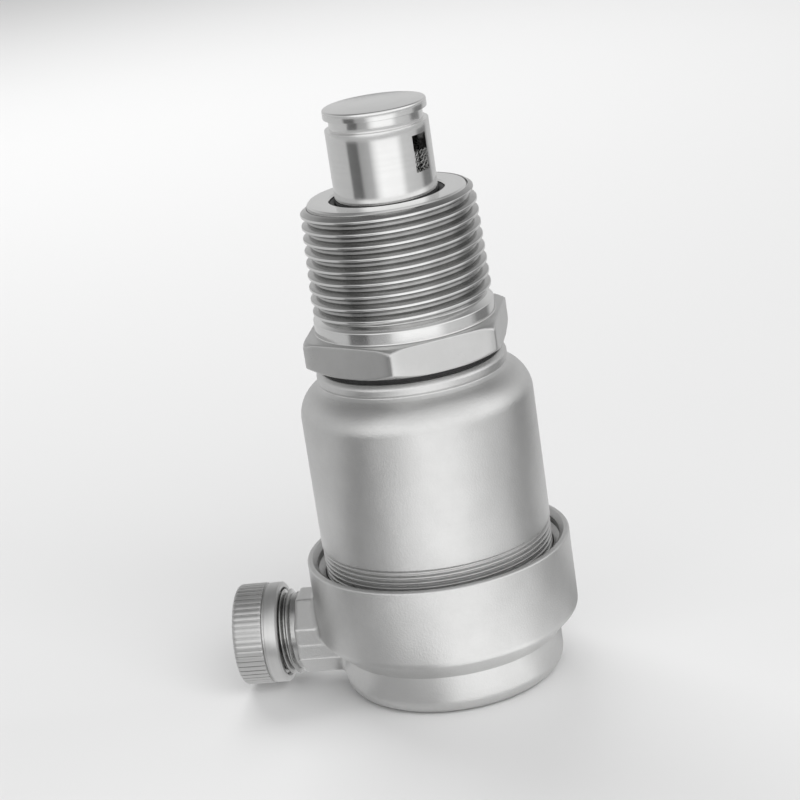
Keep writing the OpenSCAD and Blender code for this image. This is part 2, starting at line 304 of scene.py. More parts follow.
trial = grow(THREAD, Turns=2.0)
print("trial ridge reaches", round(max(v.co.xy.length for v in trial.vertices) / MM, 3), "mm from the axis")

# %% [markdown]
# ### The wound spring and the woven screen
# The spring is the same helix with a round section. In the screen, half of the wires
# lean left and half lean right, and each wire steps in and out at every crossing, so
# that the two sets weave. One wire of each set is made, then repeated round the tube.

# %% Build the spring tree
w = Wiring("wound spring", [
    ("Turns", FLOAT, 7.0), ("Pitch", FLOAT, 2 * MM), ("Coil radius", FLOAT, 10 * MM),
    ("Wire radius", FLOAT, 0.6 * MM), ("Material", MATERIAL, None),
])
g = w.given
curve, turn = helix_points(w, g["Turns"], g["Pitch"], g["Coil radius"], 0.0, 40.0)
ring = w.node("GeometryNodeCurvePrimitiveCircle", {"Resolution": 14, "Radius": g["Wire radius"]})[0]
swept = w.node("GeometryNodeCurveToMesh", {"Curve": curve, "Profile Curve": ring, "Fill Caps": True})[0]
SPRING = w.close(swept, g["Material"])
print("spring tree has", len(SPRING.nodes), "nodes")

# %% Build the screen tree
w = Wiring("woven screen", [
    ("Wires each way", INT, 48), ("Tube radius", FLOAT, 7.4 * MM), ("Height", FLOAT, 10 * MM),
    ("Crossings", INT, 20), ("Wire radius", FLOAT, 0.15 * MM), ("Weave depth", FLOAT, 0.14 * MM),
    ("Material", MATERIAL, None),
])
g = w.given
index = w.node("GeometryNodeInputIndex")[0]
half_step = w.sum("DIVIDE", math.pi, g["Wires each way"])
climb = w.sum("MULTIPLY", w.sum("DIVIDE", g["Height"], g["Crossings"]), index)
inout = w.sum("SUBTRACT", w.sum("MULTIPLY", w.sum("MODULO", index, 2.0), 2.0), 1.0)
ring = w.node("GeometryNodeCurvePrimitiveCircle", {"Resolution": 5, "Radius": g["Wire radius"]})[0]
posts = w.node("GeometryNodePoints", {"Count": g["Wires each way"], "Position": (0.0, 0.0, 0.0)})[0]
sets = []
for lean in (1.0, -1.0):
    line = w.node("GeometryNodeMeshLine", {
        "Count": w.sum("ADD", g["Crossings"], 1.0), "Offset": (0.0, 0.0, 0.0),
    })[0]
    angle = w.sum("MULTIPLY", w.sum("MULTIPLY", half_step, index), lean)
    reach = w.sum("ADD", g["Tube radius"], w.sum("MULTIPLY", w.sum("MULTIPLY", inout, g["Weave depth"]), lean))
    spot = w.node("ShaderNodeCombineXYZ", {
        0: w.sum("MULTIPLY", reach, w.sum("COSINE", angle)),
        1: w.sum("MULTIPLY", reach, w.sum("SINE", angle)), 2: climb,
    })[0]
    moved = w.node("GeometryNodeSetPosition", {"Geometry": line, "Position": spot})[0]
    curve = w.node("GeometryNodeMeshToCurve", {"Mesh": moved})[0]
    wire = w.node("GeometryNodeCurveToMesh", {"Curve": curve, "Profile Curve": ring, "Fill Caps": True})[0]
    turned = w.node("ShaderNodeCombineXYZ", {2: w.sum("MULTIPLY", w.sum("MULTIPLY", half_step, 2.0), index)})[0]
    repeated = w.node("GeometryNodeInstanceOnPoints", {"Points": posts, "Instance": wire, "Rotation": turned})
    sets.append(repeated[0])
both = w.tree.nodes.new("GeometryNodeJoinGeometry")
for wires in sets:
    w.tree.links.new(wires, both.inputs[0])
SCREEN = w.close(both.outputs[0], g["Material"])
print("screen tree has", len(SCREEN.nodes), "nodes")

# %% [markdown]
# ### The knurl
# A straight knurl is a row of teeth pressed into the rim of the cap. One tooth is a
# block whose crest is narrower than its foot and whose ends slope down, and the tree
# sets it round the rim as many times as the wheel that pressed it.

# %% Build the knurl tree
w = Wiring("straight knurl", [
    ("Teeth", INT, 52), ("Band radius", FLOAT, 9.6 * MM), ("Band length", FLOAT, 5.6 * MM),
    ("Tooth height", FLOAT, 0.35 * MM), ("Foot width", FLOAT, 1.1 * MM), ("Crest share", FLOAT, 0.6),
    ("Inner end radius", FLOAT, 0.2 * MM), ("Outer end radius", FLOAT, 0.8 * MM),
    ("Sink", FLOAT, 0.4 * MM), ("Material", MATERIAL, None),
])
g = w.given
tall = w.sum("ADD", g["Tooth height"], g["Sink"])
size = w.node("ShaderNodeCombineXYZ", {0: tall, 1: g["Foot width"], 2: g["Band length"]})[0]
block = w.node("GeometryNodeMeshCube", {"Size": size, "Vertices X": 2, "Vertices Y": 5, "Vertices Z": 20})[0]
at = w.node("ShaderNodeSeparateXYZ", {0: w.node("GeometryNodeInputPosition")[0]})
outer = w.sum("GREATER_THAN", at["X"], 0.0)
across = w.sum("DIVIDE", w.sum("ABSOLUTE", at["Y"]), w.sum("MULTIPLY", g["Foot width"], 0.5))
crown = w.sum("MULTIPLY", w.sum("POWER", across, 2.0), w.sum("MULTIPLY", g["Tooth height"], 0.35))
above = w.sum("GREATER_THAN", at["Z"], 0.0)
wider = w.sum("MULTIPLY", above, w.sum("SUBTRACT", g["Outer end radius"], g["Inner end radius"]))
bend = w.sum("ADD", g["Inner end radius"], wider)
start = w.sum("SUBTRACT", w.sum("MULTIPLY", g["Band length"], 0.5), bend)
beyond = w.sum("DIVIDE", w.sum("SUBTRACT", w.sum("ABSOLUTE", at["Z"]), start), bend)
beyond = w.sum("MINIMUM", w.sum("MAXIMUM", beyond, 0.0), 0.97)
arc = w.sum("SQRT", w.sum("SUBTRACT", 1.0, w.sum("MULTIPLY", beyond, beyond)))
ends = w.sum("MULTIPLY", bend, w.sum("SUBTRACT", 1.0, arc))
drop = w.sum("MULTIPLY", outer, w.sum("ADD", crown, ends))
narrow = w.sum("ADD", 1.0, w.sum("MULTIPLY", outer, w.sum("SUBTRACT", g["Crest share"], 1.0)))
shaped = w.node("ShaderNodeCombineXYZ", {
    0: w.sum("SUBTRACT", w.sum("ADD", at["X"], w.sum("ADD", g["Band radius"], w.sum(
        "SUBTRACT", w.sum("MULTIPLY", tall, 0.5), g["Sink"]))), drop),
    1: w.sum("MULTIPLY", at["Y"], narrow), 2: at["Z"],
})[0]
tooth = w.node("GeometryNodeSetPosition", {"Geometry": block, "Position": shaped})[0]
posts = w.node("GeometryNodePoints", {"Count": g["Teeth"], "Position": (0.0, 0.0, 0.0)})[0]
index = w.node("GeometryNodeInputIndex")[0]
spread = w.sum("MULTIPLY", w.sum("DIVIDE", index, g["Teeth"]), 2 * math.pi)
turned = w.node("ShaderNodeCombineXYZ", {2: spread})[0]
teeth = w.node("GeometryNodeInstanceOnPoints", {"Points": posts, "Instance": tooth, "Rotation": turned})[0]
KNURL = w.close(teeth, g["Material"])
print("knurl tree has", len(KNURL.nodes), "nodes")

# %% [markdown]
# ## Finishes
# Every metal part here is stainless steel, and what tells them apart is how each was
# finished. The castings were blasted and then turned, so they are satin with a fine
# grain. The plunger, neck and cap collar came straight from the lathe, so they mirror
# the room along fine rings. The effects are node groups, shared by the materials.

# %% Helpers for shader nodes
def shader_group(name, inputs, outputs):
    """Starts an effect with named sockets and returns its tree, inputs and output node."""
    tree = bpy.data.node_groups.new(name, "ShaderNodeTree")
    for label, kind, value in inputs:
        socket = tree.interface.new_socket(label, in_out="INPUT", socket_type=kind)
        if value is not None:
            socket.default_value = value
    for label, kind in outputs:
        tree.interface.new_socket(label, in_out="OUTPUT", socket_type=kind)
    return tree, tree.nodes.new("NodeGroupInput").outputs, tree.nodes.new("NodeGroupOutput").inputs


def put(tree, kind, links=(), **settings):
    """Adds a shader node, joins its inputs, and returns the node."""
    node = tree.nodes.new(kind)
    for key, value in settings.items():
        setattr(node, key, value)
    for socket, source in dict(links).items():
        if isinstance(source, bpy.types.NodeSocket):
            tree.links.new(source, node.inputs[socket])
        else:
            node.inputs[socket].default_value = source
    return node


def calc(tree, operation, a, b):
    """The result of one maths node."""
    return put(tree, "ShaderNodeMath", {0: a, 1: b}, operation=operation).outputs[0]


def ramp(tree, value, low, high, start=0.0, end=1.0, smooth=False):
    """Goes from start to end while the value goes from low to high."""
    links = {"Value": value, 1: low, 2: high, 3: start, 4: end}
    style = "SMOOTHSTEP" if smooth else "LINEAR"
    return put(tree, "ShaderNodeMapRange", links, interpolation_type=style).outputs[0]


def noise(tree, place, scale, detail, roughness=0.5, distortion=0.0):
    """Noise between 0 and 1, read at a place."""
    return put(tree, "ShaderNodeTexNoise", {
        "Vector": place, "Scale": scale, "Detail": detail, "Roughness": roughness, "Distortion": distortion,
    }).outputs[0]


VECTOR, VALUE = "NodeSocketVector", "NodeSocketFloat"
print("kinds of effect socket:", VECTOR, VALUE)

# %% Grain of a blasted casting
GRAIN, given, out = shader_group(
    "blasted grain",
    [("Place", VECTOR, None), ("Grain size", VALUE, 0.25 * MM), ("Clouding size", VALUE, 6 * MM)],
    [("Height", VALUE), ("Clouds", VALUE)],
)
per_grain = calc(GRAIN, "DIVIDE", 1.0, given["Grain size"])
per_cloud = calc(GRAIN, "DIVIDE", 1.0, given["Clouding size"])
GRAIN.links.new(noise(GRAIN, given["Place"], per_grain, 3.0, 0.6), out["Height"])
GRAIN.links.new(noise(GRAIN, given["Place"], per_cloud, 4.0, 0.65), out["Clouds"])
print("grain group puts out Height and Clouds")

# %% [markdown]
# A lathe tool leaves rings that are all at right angles to the axis. Noise that is read
# by height and distance from the axis, and not by the way round, makes such rings. They
# come out irregular in depth, as real ones are.

# %% Rings that a lathe tool leaves
RINGS, given, out = shader_group(
    "turning rings",
    [("Place", VECTOR, None), ("Ring spacing", VALUE, 0.08 * MM), ("Drift", VALUE, 0.15)],
    [("Height", VALUE), ("Bands", VALUE)],
)
axes = put(RINGS, "ShaderNodeSeparateXYZ", {0: given["Place"]}).outputs
flat = put(RINGS, "ShaderNodeCombineXYZ", {0: axes["X"], 1: axes["Y"]}).outputs[0]
away = put(RINGS, "ShaderNodeVectorMath", {0: flat}, operation="LENGTH").outputs["Value"]
rate = calc(RINGS, "DIVIDE", 1.0, given["Ring spacing"])
along = calc(RINGS, "MULTIPLY", axes["Z"], rate)
outward = calc(RINGS, "MULTIPLY", away, rate)
wander = noise(RINGS, given["Place"], 60.0, 1.0)
around = calc(RINGS, "MULTIPLY", wander, given["Drift"])
where = put(RINGS, "ShaderNodeCombineXYZ", {0: along, 1: outward, 2: around}).outputs[0]
RINGS.links.new(noise(RINGS, where, 1.0, 2.0, 0.55), out["Height"])
RINGS.links.new(noise(RINGS, where, 0.09, 2.0), out["Bands"])
print("ring group puts out Height and Bands")

# %% [markdown]
# Hands and storage leave their own mark: soft patches where the metal is a little
# duller, and a few fine scratches that run every way.

# %% Handling marks
HANDLING, given, out = shader_group(
    "handling marks",
    [("Place", VECTOR, None), ("Patch size", VALUE, 14 * MM), ("Scratch size", VALUE, 5 * MM)],
    [("Patches", VALUE), ("Scratches", VALUE)],
)
rate = calc(HANDLING, "DIVIDE", 1.0, given["Patch size"])
patch = noise(HANDLING, given["Place"], rate, 5.0, 0.6, 0.4)
rate = calc(HANDLING, "DIVIDE", 1.0, given["Scratch size"])
bent = put(HANDLING, "ShaderNodeMapping", {
    "Vector": given["Place"], "Rotation": (0.5, 0.9, 0.3), "Scale": (1.0, 14.0, 1.0)}).outputs[0]
lines = noise(HANDLING, bent, rate, 2.0, distortion=0.6)
HANDLING.links.new(ramp(HANDLING, patch, 0.42, 0.68, smooth=True), out["Patches"])
HANDLING.links.new(ramp(HANDLING, lines, 0.70, 0.76), out["Scratches"])
print("handling group puts out Patches and Scratches")

# %% [markdown]
# One recipe makes all the metals. It mixes a light and a dark tone by the slow bands,
# moves the roughness with the same masks, and feeds the fine heights to a bump. What
# differs between the finishes is only the set of numbers.

# %% Steps that all the recipes share
def start_material(name):
    """A new material, its tree, its Principled node and the object's own coordinates."""
    material = bpy.data.materials.new(name)
    material.use_nodes = True
    tree = material.node_tree
    place = tree.nodes.new("ShaderNodeTexCoord").outputs["Object"]
    return material, tree, tree.nodes["Principled BSDF"], place


def effect(tree, group, place, **sizes):
    """Adds an effect at a place, with its sizes in millimetres, and returns what it puts out."""
    node = put(tree, "ShaderNodeGroup", {"Place": place}, node_tree=group)
    for label, size in sizes.items():
        node.inputs[label.replace("_", " ")].default_value = size * MM
    return node.outputs


def two_tones(tree, shader, tone, low, high, light, dark):
    """Colours the shader light where the tone is low, and dark where it's high."""
    share = ramp(tree, tone, low, high)
    colour = put(tree, "ShaderNodeMix", {"Factor": share, 6: (*light, 1), 7: (*dark, 1)}, data_type="RGBA")
    tree.links.new(colour.outputs[2], shader.inputs["Base Color"])


def raise_surface(tree, shader, height, depth):
    """Joins a height to the shader as a bump of a depth in millimetres."""
    bump = put(tree, "ShaderNodeBump", {"Height": height, "Strength": 1.0, "Distance": depth * MM})
    tree.links.new(bump.outputs[0], shader.inputs["Normal"])


print("effects ready:", [tree.name for tree in (GRAIN, RINGS, HANDLING)])

# %% A recipe for metal
SCRATCH_DEPTH = -0.3 * 0.5


def metal(name, light, dark, gloss, grain=0.0, rings=0.0, grain_size=0.25, banded=0.5, turn=None, depth=0.02,
          worn=0.06):
    """Makes a metal. Sizes and depth are in millimetres. Gloss is a low and a high roughness,
    and worn is how much the grain moves it. Grain and rings say how deep each one is, and
    banded says how much the rings tint the metal."""
    material, tree, shader, place = start_material(name)
    if turn is not None:
        shift, tilt = turn
        place = put(tree, "ShaderNodeMapping", {
            "Vector": place, "Location": shift, "Rotation": tilt}).outputs[0]
    grains = effect(tree, GRAIN, place, Grain_size=grain_size)
    turning = effect(tree, RINGS, place)
    marks = effect(tree, HANDLING, place)
    tone = put(tree, "ShaderNodeMix", {0: banded, 2: grains["Clouds"], 3: turning["Bands"]}).outputs[0]
    two_tones(tree, shader, tone, 0.38, 0.62, light, dark)
    dull = calc(tree, "MAXIMUM", marks["Patches"], marks["Scratches"])
    rough = ramp(tree, dull, 0.0, 1.0, *gloss)
    speck = ramp(tree, grains["Height"], 0.3, 0.7, -worn, worn)
    rough = put(tree, "ShaderNodeMath", {0: rough, 1: speck}, use_clamp=True).outputs[0]
    tree.links.new(rough, shader.inputs["Roughness"])
    fine = calc(tree, "MULTIPLY", grains["Height"], grain)
    turned = calc(tree, "MULTIPLY", turning["Height"], rings)
    cut = calc(tree, "MULTIPLY", marks["Scratches"], SCRATCH_DEPTH)
    raise_surface(tree, shader, calc(tree, "ADD", calc(tree, "ADD", fine, turned), cut), depth)
    shader.inputs["Metallic"].default_value = 1.0
    return material


print("scratches are cut", -SCRATCH_DEPTH, "of a metal's depth")

# %% The metals
SIDEWAYS = ((VENT_HEIGHT * -MM, 0, 0), (0, math.radians(90), 0))
CAST = metal("cast_satin_steel", (.66, .66, .655), (.63, .63, .625), (.37, .41),
             grain=1.0, rings=.05, banded=.1, grain_size=.36, depth=.055)
BARREL = metal("barrel_satin_steel", (.66, .66, .655), (.63, .63, .625), (.35, .40),
               grain=1.0, rings=.08, banded=.1, grain_size=.34, depth=.045)
TURNED = metal("turned_bright_steel", (.75, .75, .745), (.72, .72, .715), (.13, .17),
               grain=.3, rings=.6, worn=.03, depth=.002)
# A darker copy of the same steel: painted shade for the thread flanks and for the spigot in the gap under the
# cap.
THREAD_PAINTED_SHADE = metal("thread_steel_painted_shade", (.50, .50, .495), (.40, .40, .395), (.17, .25),
                 grain=.1, rings=.3, worn=.03, depth=.002)
HEX = metal("hexagon_satin_steel", (.61, .61, .605), (.58, .58, .575), (.33, .40),
            grain=1.0, banded=0, grain_size=.18, depth=.012)
CAP = metal("cap_steel", (.66, .66, .655), (.62, .62, .615), (.34, .42),
            grain=.3, rings=.6, turn=SIDEWAYS, depth=.004)
KNURLED = metal("knurled_satin_steel", (.62, .62, .615), (.58, .58, .575), (.42, .50),
                grain=.5, banded=0, depth=.006)
SHEET = metal("rolled_sheet_steel", (.60, .60, .595), (.50, .50, .495), (.28, .38), grain=.4, depth=.006)
WIRE = metal("screen_wire_steel", (.50, .50, .495), (.36, .36, .355), (.30, .42), grain=.3, depth=.004)
BRASS = metal("nozzle_brass", (.80, .60, .28), (.66, .46, .20), (.20, .32),
              grain=.2, rings=.6, turn=SIDEWAYS, depth=.005)
METALS = (CAST, BARREL, TURNED, THREAD_PAINTED_SHADE, HEX, CAP, KNURLED, SHEET, WIRE, BRASS)
print("metals made:", [made.name for made in METALS])

# %% [markdown]
# Rubber and the float's plastic aren't metal. Rubber is nearly black with a powdery
# bloom, and the moulded float is a pale plastic with a trace of flow lines. Both use
# the same grain and patches, but their colour comes from below the surface.

# %% A recipe for moulded parts
def moulded(name, light, dark, gloss, depth):
    """Makes a rubber or plastic with a mottled colour and a fine moulded grain."""
    material, tree, shader, place = start_material(name)
    grains = effect(tree, GRAIN, place, Grain_size=0.4)
    marks = effect(tree, HANDLING, place)
    two_tones(tree, shader, grains["Clouds"], 0.35, 0.65, light, dark)
    rough = ramp(tree, marks["Patches"], 0.0, 1.0, *gloss)
    tree.links.new(rough, shader.inputs["Roughness"])
    raise_surface(tree, shader, grains["Height"], depth)
    return material


RUBBER = moulded("black_rubber", (.030, .030, .030), (.018, .018, .019), (.55, .75), .02)
PLASTIC = moulded("pale_float_plastic", (.80, .79, .74), (.72, .71, .66), (.35, .5), .01)
print("moulded materials:", RUBBER.name, PLASTIC.name)

# %% [markdown]
# ## The cover
# The cover is the heavy casting that the fitting stands on: a cup with a step round its
# foot, a 45 degree band, and a plain ring that screws over the barrel. It is round, so
# its half section is drawn once, down the outside and back up the bore, and spun.

# %% Spin the cover
COVER = [
    (0, 0, 0), (21.4, 0, 3.4), (21.4, 8.2, .25), (25.4, 12.2, 2.0),
    (25.4, 27.3, .8), (24.4, 27.3, .15), (23.5, 26.4, .1), (23.5, 25.1, .1), (22.15, 24.7, .1),
    (22.15, 17.3, .1), (21.8, 15.6, 0), (18.5, 15.6, .2), (18.5, 4.5, 1.2), (0, 4.5, 0),
]
cover = bmesh.new()
spin(cover, rounded(COVER, steps=7), segments=240)
print("cover section has", len(rounded(COVER, steps=7)), "points")

# %% [markdown]
# ### The boss
# The vent leaves the cover through an eight sided boss that was cast with it. Its
# outline is an octagon with soft corners, and a thin groove and step along its side
# show where the two mould halves met. The outline is swept inward until it meets the
# round wall, and there it turns outward in a small fillet, as a casting does.

# %% Outline of a polygon with soft corners
def outline(sides, apothem, corner, first_face=0.0, corner_steps=4, along=6):
    """Points of a rounded polygon, in millimetres, each with its outward direction."""
    found = []
    half = math.pi / sides
    reach = (apothem - corner) / math.cos(half)
    flat = (apothem - corner) * math.tan(half)
    for s in range(sides):
        face = first_face + 2 * half * s
        n = Vector((math.cos(face), math.sin(face)))
        t = Vector((-n.y, n.x))
        found += [(n * apothem + t * flat * (2 * k / along - 1), n) for k in range(along + 1)]
        centre = Vector((math.cos(face + half), math.sin(face + half))) * reach
        for k in range(1, corner_steps):
            a = face + 2 * half * k / corner_steps
            n2 = Vector((math.cos(a), math.sin(a)))
            found.append((centre + n2 * corner, n2))
    return found


print("an octagon outline has", len(outline(8, 7.7, .6, along=16)), "points")

# %% Where the vent meets the cover's wall
FOOT_RADIUS, STEP_HEIGHT, RING_RADIUS = 21.4, 8.2, 25.4
BOSS_END, BOSS_ROOT, BOSS_APOTHEM, PARTING_LINE = 29.3, 22.6, 7.7, 0.13


def cover_radius(z):
    """The cover's outside radius at a height, in millimetres."""
    return FOOT_RADIUS if z < STEP_HEIGHT else min(FOOT_RADIUS + z - STEP_HEIGHT, RING_RADIUS)


def wall_distance(z, y):
    """How far from the cover's axis, along the vent, its wall is met."""
    r = cover_radius(z)
    return math.sqrt(max(r * r - y * y, 1.0))


def on_vent(bm, height, across, distance):
    """A vertex placed by height and width about the vent's axis, and distance along it."""
    return bm.verts.new((-distance * MM, across * MM, (VENT_HEIGHT + height) * MM))


print("the boss leaves the wall", round(wall_distance(VENT_HEIGHT, 0), 2), "mm from the axis")

# %% Sweep the boss into the cover's wall
def boss_rings(bm):
    """Rings from the boss's end face to a buried ring, with the fillet on the way."""
    shape = []
    for p, n in outline(8, BOSS_APOTHEM, .6, along=16):
        seam = 0.0
        if abs(n.y) > 0.99 and p.x <= 0.1:
            seam = PARTING_LINE if p.x > -0.1 else 0.05
        shape.append((p - n * seam, n))
    rings = [[on_vent(bm, 0, 0, BOSS_END)]]
    for back, inset in ((0, 4.5), (0, .9), (.06, .45), (.22, .18), (.5, .03), (.9, 0)):
        rings.append([on_vent(bm, *(p - n * inset), BOSS_END - back) for p, n in shape])
    fillet, steps = 1.1, 6
    sweep = [[] for _ in range(steps + 2)]
    for p, n in shape:
        start = wall_distance(VENT_HEIGHT + p.x, p.y)
        q = p + n * fillet
        end = wall_distance(VENT_HEIGHT + q.x, q.y) - 0.03
        for k in range(steps + 1):
            t = k / steps
            spot = p * (1 - t * t) + q * (t * t)
            d = (1 - t) ** 2 * (start + fillet) + 2 * t * (1 - t) * start + t * t * end
            sweep[k].append(on_vent(bm, spot.x, spot.y, d))
        sweep[-1].append(on_vent(bm, q.x, q.y, end - 0.9))
    return rings + sweep + [[on_vent(bm, 0, 0, BOSS_ROOT)]]


skin(cover, boss_rings(cover), closed=False)
cover_casting = finish_piece("cover_casting", cover, "cover", [CAST], ["cover"], sharp=28)
print("cover reaches", [round(v / MM, 1) for v in cover_casting.bound_box[6]])

# %% [markdown]
# ### The threaded spigot
# A short male thread stands out of the boss, and the vent cap screws on it. The spigot
# is a spun tube, drilled through for the air. The thread tree winds the ridge on it,
# along its own Z, and the whole piece is then laid over to point out of the side.

# %% Spin the spigot and wind its thread
SPIGOT = [
    (2.5, 23, 0), (7.0, 23, 0), (7.45, 29.2, 0), (7.45, 37.9, 0), (7.1, 38.4, .15),
    (3.0, 38.4, .1), (2.5, 37.9, 0),
]
spigot = bmesh.new()
spin(spigot, rounded(SPIGOT), segments=120, place=VENT)
add_grown(spigot, VENT @ lifted(29.55), THREAD, Turns=6.3, Pitch=1.337 * MM, Core_radius=7.45 * MM,
          Ridge_height=.86 * MM, Root_width=1.28 * MM, Crest_width=.22 * MM, Rounding=.1 * MM,
          Material=THREAD_PAINTED_SHADE)
# The whole spigot takes the darker thread steel, which paints shade into the gap under the cap.
finish_piece("vent_spigot", spigot, "cover", [THREAD_PAINTED_SHADE], sharp=50)

# %% [markdown]
# ## The vent cap
# The cap is a small turned cup. Its outer half carries the knurl for the fingers, a fine
# groove follows, and the inner half is a plain collar that was left smooth from the
# lathe. The core is spun and the tree presses its teeth in the band.

# %% Spin the cap and knurl its rim
BAND, BAND_MIDDLE, KNURL_START = 9.62, 38.36, 35.5
CAP_CORE = [
    (8.45, 32.9, .1), (8.75, 32.3, .05), (9.45, 32.3, .12), (9.8, 32.65, .1), (9.8, 34.85, .12),
    (9.25, 35.0, .05), (9.25, 35.35, .05), (BAND, KNURL_START, .05), (BAND, 41.28, .95),
    (8.0, 41.3, .3), (0, 41.3, 0), (0, 39.7, 0), (8.45, 39.7, .3),
]
cap = bmesh.new()
spin(cap, rounded(CAP_CORE), segments=156, place=VENT)
add_grown(cap, VENT @ lifted(BAND_MIDDLE), KNURL, Teeth=52, Band_radius=BAND * MM, Band_length=5.78 * MM,
          Tooth_height=.27 * MM, Foot_width=1.13 * MM, Crest_share=.84, Inner_end_radius=.10 * MM,
          Outer_end_radius=.85 * MM, Sink=.8 * MM, Material=KNURLED)
vent_cap = finish_piece("vent_cap_turned", cap, "vent_cap", [CAP, KNURLED],
                        ["vent_cap"], sharp=40)
for face in vent_cap.data.polygons:
    face.material_index = int(face.center.x < -KNURL_START * MM)

# %% [markdown]
# ## The barrel
# The barrel is the thin walled chamber that the float rises in. It was cast and then
# turned. Its foot is threaded into the cover, and its top is a rounded shoulder with a
# small collar. Three short spokes inside carry the tube that lifts the inlet's plunger.

# %% Spin the barrel, wind its thread and add the spokes
SHOULDER, SHOULDER_ROUND = (15.8, 55.8), 6.3  # the shoulder's centre and its radius
dome = [(SHOULDER[0] + SHOULDER_ROUND * math.cos(math.radians(a)),
         SHOULDER[1] + SHOULDER_ROUND * math.sin(math.radians(a)), 0) for a in range(4, 63, 4)]
BARREL_SHELL = [
    (20.9, 17.3, .2), (21.4, 17.7, 0), (21.4, 29.8, .1), (22.1, 30.15, .2), (22.1, 55.8, 0),
] + dome + [
    (18.4, 61.7, .2), (17.75, 62.35, .25), (18.02, 62.8, .5), (18.05, 64.1, .9), (17.2, 64.8, .4),
    (14.15, 64.8, .1), (14.15, 50.5, .1), (16.1, 50.5, .1), (16.1, 59.2, .2), (17.2, 59.2, .6),
    (18.4, 57.6, .8), (19.4, 54.5, 1.5), (19.4, 17.3, .2),
]
PUSHER_TUBE = [(6.6, 46.4, .1), (9.0, 46.4, .1), (9.0, 65.8, .2), (6.6, 65.8, .2)]
barrel = bmesh.new()
spin(barrel, rounded(BARREL_SHELL), segments=240)
spin(barrel, rounded(PUSHER_TUBE), segments=120)
add_grown(barrel, lifted(17.9), THREAD, Turns=12.0, Pitch=1.0 * MM, Core_radius=21.4 * MM,
          Ridge_height=.60 * MM, Root_width=.95 * MM, Crest_width=.25 * MM, Rounding=.08 * MM, Run_out=.3,
          Material=THREAD_PAINTED_SHADE)
for spoke in (90, 210, 330):
    block = bmesh.ops.create_cube(barrel, size=1.0)["verts"]
    shape = Matrix.Rotation(math.radians(spoke), 4, "Z") @ Matrix.Translation(
        (14.1 * MM, 0, 47.9 * MM)) @ Matrix.Diagonal((11.2 * MM, 3.0 * MM, 3.0 * MM, 1))
    bmesh.ops.transform(barrel, matrix=shape, verts=block)
    edges = {e for v in block for e in v.link_edges}
    bmesh.ops.bevel(barrel, geom=list(edges), offset=.25 * MM, segments=2, profile=.5, affect="EDGES")
finish_piece("barrel_turned", barrel, "barrel", [BARREL], ["barrel"], sharp=35)

# %% [markdown]
# ## The inlet fitting
# This is one casting that was turned all over: a spigot that screws in the barrel, a hexagon for
# the spanner, a smooth neck, and the tapered pipe thread. The section goes from round to
# six sided and back, so all its rings follow one list of directions, and the corners are
# cut back where a turning tool met them.

# %% Directions shared by the hexagon and the round parts
hexagon = outline(6, 18.0, .45, first_face=0.0, corner_steps=6, along=22)
ways = [p.normalized() for p, n in hexagon]
spans = [p.length for p, n in hexagon]


def circle_ring(bm, radius, z):
    """A round ring that uses the hexagon's directions."""
    return [bm.verts.new((w.x * radius * MM, w.y * radius * MM, z * MM)) for w in ways]


def hexagon_ring(bm, limit, z, inset=0.0):
    """A six sided ring. Its corners are held inside a turned limit, and softly rounded there."""
    ring, soft = [], 0.25
    for w, span in zip(ways, spans):
        reach = span - inset
        gap = max(soft - abs(reach - limit), 0) / soft
        reach = min(reach, limit) - gap * gap * soft / 4
        ring.append(bm.verts.new((w.x * reach * MM, w.y * reach * MM, z * MM)))
    return ring


print("hexagon spans", round(min(spans), 2), "to", round(max(spans), 2), "mm")

# %% Build the fitting's rings
GAUGE_RADIUS, GAUGE_HEIGHT, TAPER = 16.6245, 86.1, 1 / 32
THREAD_FOOT, THREAD_DEPTH = 75.3, 1.2


def thread_root(z):
    """Radius of the pipe thread's root. The thread tapers 1 in 16 on the diameter."""
    return GAUGE_RADIUS + (GAUGE_HEIGHT - z) * TAPER - THREAD_DEPTH


# Height, the radius that the turned chamfer leaves there, and how far the flats stand in.
HEX_RINGS = [
    (65.96, 17.9, .22), (66.02, 18.15, .06), (66.15, 18.45, 0), (66.35, 18.85, 0), (66.55, 19.25, 0),
    (66.75, 19.6, 0), (66.95, 19.95, 0), (67.15, 20.3, 0), (67.35, 20.55, 0), (67.6, 20.62, 0),
    (68.6, 20.62, 0), (69.8, 20.62, 0), (70.8, 20.62, 0), (71.3, 20.6, 0), (71.55, 20.45, 0),
    (71.75, 20.2, 0), (71.95, 19.85, .03), (72.06, 19.6, .12), (72.1, 19.4, .25),
]
fitting = bmesh.new()
spigot_line = rounded([
    (11.8, 49.8, .2), (13.1, 49.8, .2), (13.1, 63.4, .1), (13.6, 63.8, .1), (13.6, 66.4, .1)])[:-3]
rings = [circle_ring(fitting, r, z) for r, z in spigot_line + [(13.6, 65.96), (16.6, 65.96)]]
rings += [hexagon_ring(fitting, limit, z, inset) for z, limit, inset in HEX_RINGS]
upper = rounded([
    (17.5, 72.1, 0), (17.0, 72.1, .5), (17.0, 74.5, .3), (thread_root(75.2), 75.5, .4),
    (thread_root(94.6), 94.6, 0), (14.95, 96.1, .3), (14.6, 96.5, .1), (10.95, 96.5, .2), (10.65, 96.1, .1),
    (11.15, 96.0, 0), (11.15, 94.6, 0), (9.7, 94.6, .2), (9.7, 84.3, .2), (11.8, 84.0, .2), (11.8, 51.7, 0),
    (12.5, 51.7, .05), (12.5, 50.6, .05), (11.8, 50.6, 0)])
rings += [circle_ring(fitting, r, z) for r, z in upper]
skin(fitting, rings)
start = lifted(THREAD_FOOT) @ Matrix.Rotation(math.radians(60), 4, "Z")
